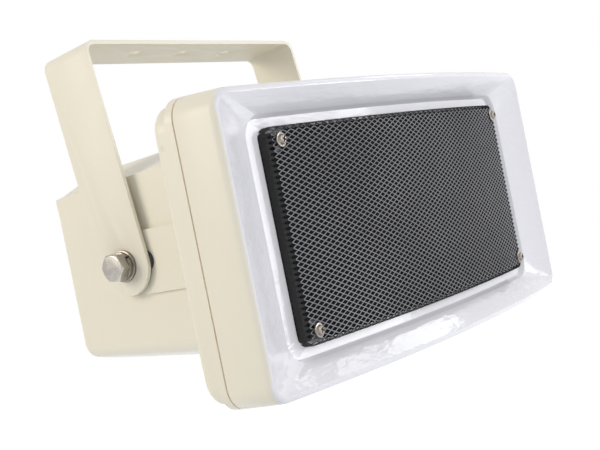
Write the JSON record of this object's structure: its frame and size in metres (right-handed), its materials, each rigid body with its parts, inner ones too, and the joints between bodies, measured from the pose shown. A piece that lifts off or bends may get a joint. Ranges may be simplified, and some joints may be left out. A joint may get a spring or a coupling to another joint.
{
  "type": "horn speaker",
  "caption": "Rectangular moulded horn speaker with a bowed flared front, a black mesh grille and a deep rear housing, hung in a folded steel bracket.",
  "frame": {"origin": "middle of the bracket's mounting face, on the axis of its centre hole", "axes": "+Z out of the mounting face, -Y the way the speaker faces, +X along the pivot axis"},
  "size_m": [0.2914, 0.2061, 0.1914],
  "materials": {
    "cream_paint": "smooth semi-gloss powder coat",
    "cream_moulding": "smooth gloss moulding, cool white on the face side",
    "black_mesh": "satin black coat",
    "stainless": "bright stainless steel",
    "black_cloth": "thin acoustic cloth",
    "tan_seal": "soft seal",
    "black_rubber": "smooth rubber",
    "brass": "plain brass",
    "black_plastic": "plain moulding",
    "plain_steel": "zinc plated",
    "ferrite": "sintered ferrite",
    "copper": "enamelled wire",
    "black_paper": "pressed pulp",
    "amber_cloth": "resin-dipped cloth",
    "lamination": "varnished laminations",
    "white_nylon": "plain nylon"
  },
  "bodies": {
    "bracket_frame": {"bracket": "cream_paint"},
    "speaker_head": {"front_bezel": "cream_moulding", "grille": "black_mesh", "grille_screws": "stainless", "dust_cloth": "black_cloth", "seal_ring": "tan_seal", "rear_cabinet": "cream_moulding", "cabinet_screws": "stainless", "pivot_bolts": "stainless", "spring_washers": "stainless", "flat_washers": "stainless", "lock_discs": "black_rubber", "threaded_inserts": "brass", "horn_flare": "black_plastic", "driver_gasket": "black_rubber", "driver_basket": "plain_steel", "driver_screws": "plain_steel", "top_plate": "plain_steel", "magnet": "ferrite", "back_plate": "plain_steel", "surround": "black_rubber", "spider": "amber_cloth", "transformer_core": "lamination", "transformer_coil": "copper", "transformer_screws": "plain_steel", "terminal_block": "white_nylon", "gland_body": "black_plastic", "gland_seal": "black_rubber", "gland_nut": "black_plastic", "gland_locknut": "black_plastic"},
    "cone_assembly": {"cone": "black_paper", "voice_coil": "copper", "dust_cap": "black_paper"}
  },
  "joints": [
    {"name": "tilt", "type": "hinge", "parent": "bracket_frame", "child": "speaker_head", "pos_m": [0, 0, -0.112], "axis": [1, 0, 0], "range_deg": [-51, 218]},
    {"name": "cone_travel", "type": "slide", "parent": "speaker_head", "child": "cone_assembly", "axis": [0, -0.9934, -0.1149], "range_m": [-0.002, 0.002], "stiffness_N_per_m": 800}
  ]
}
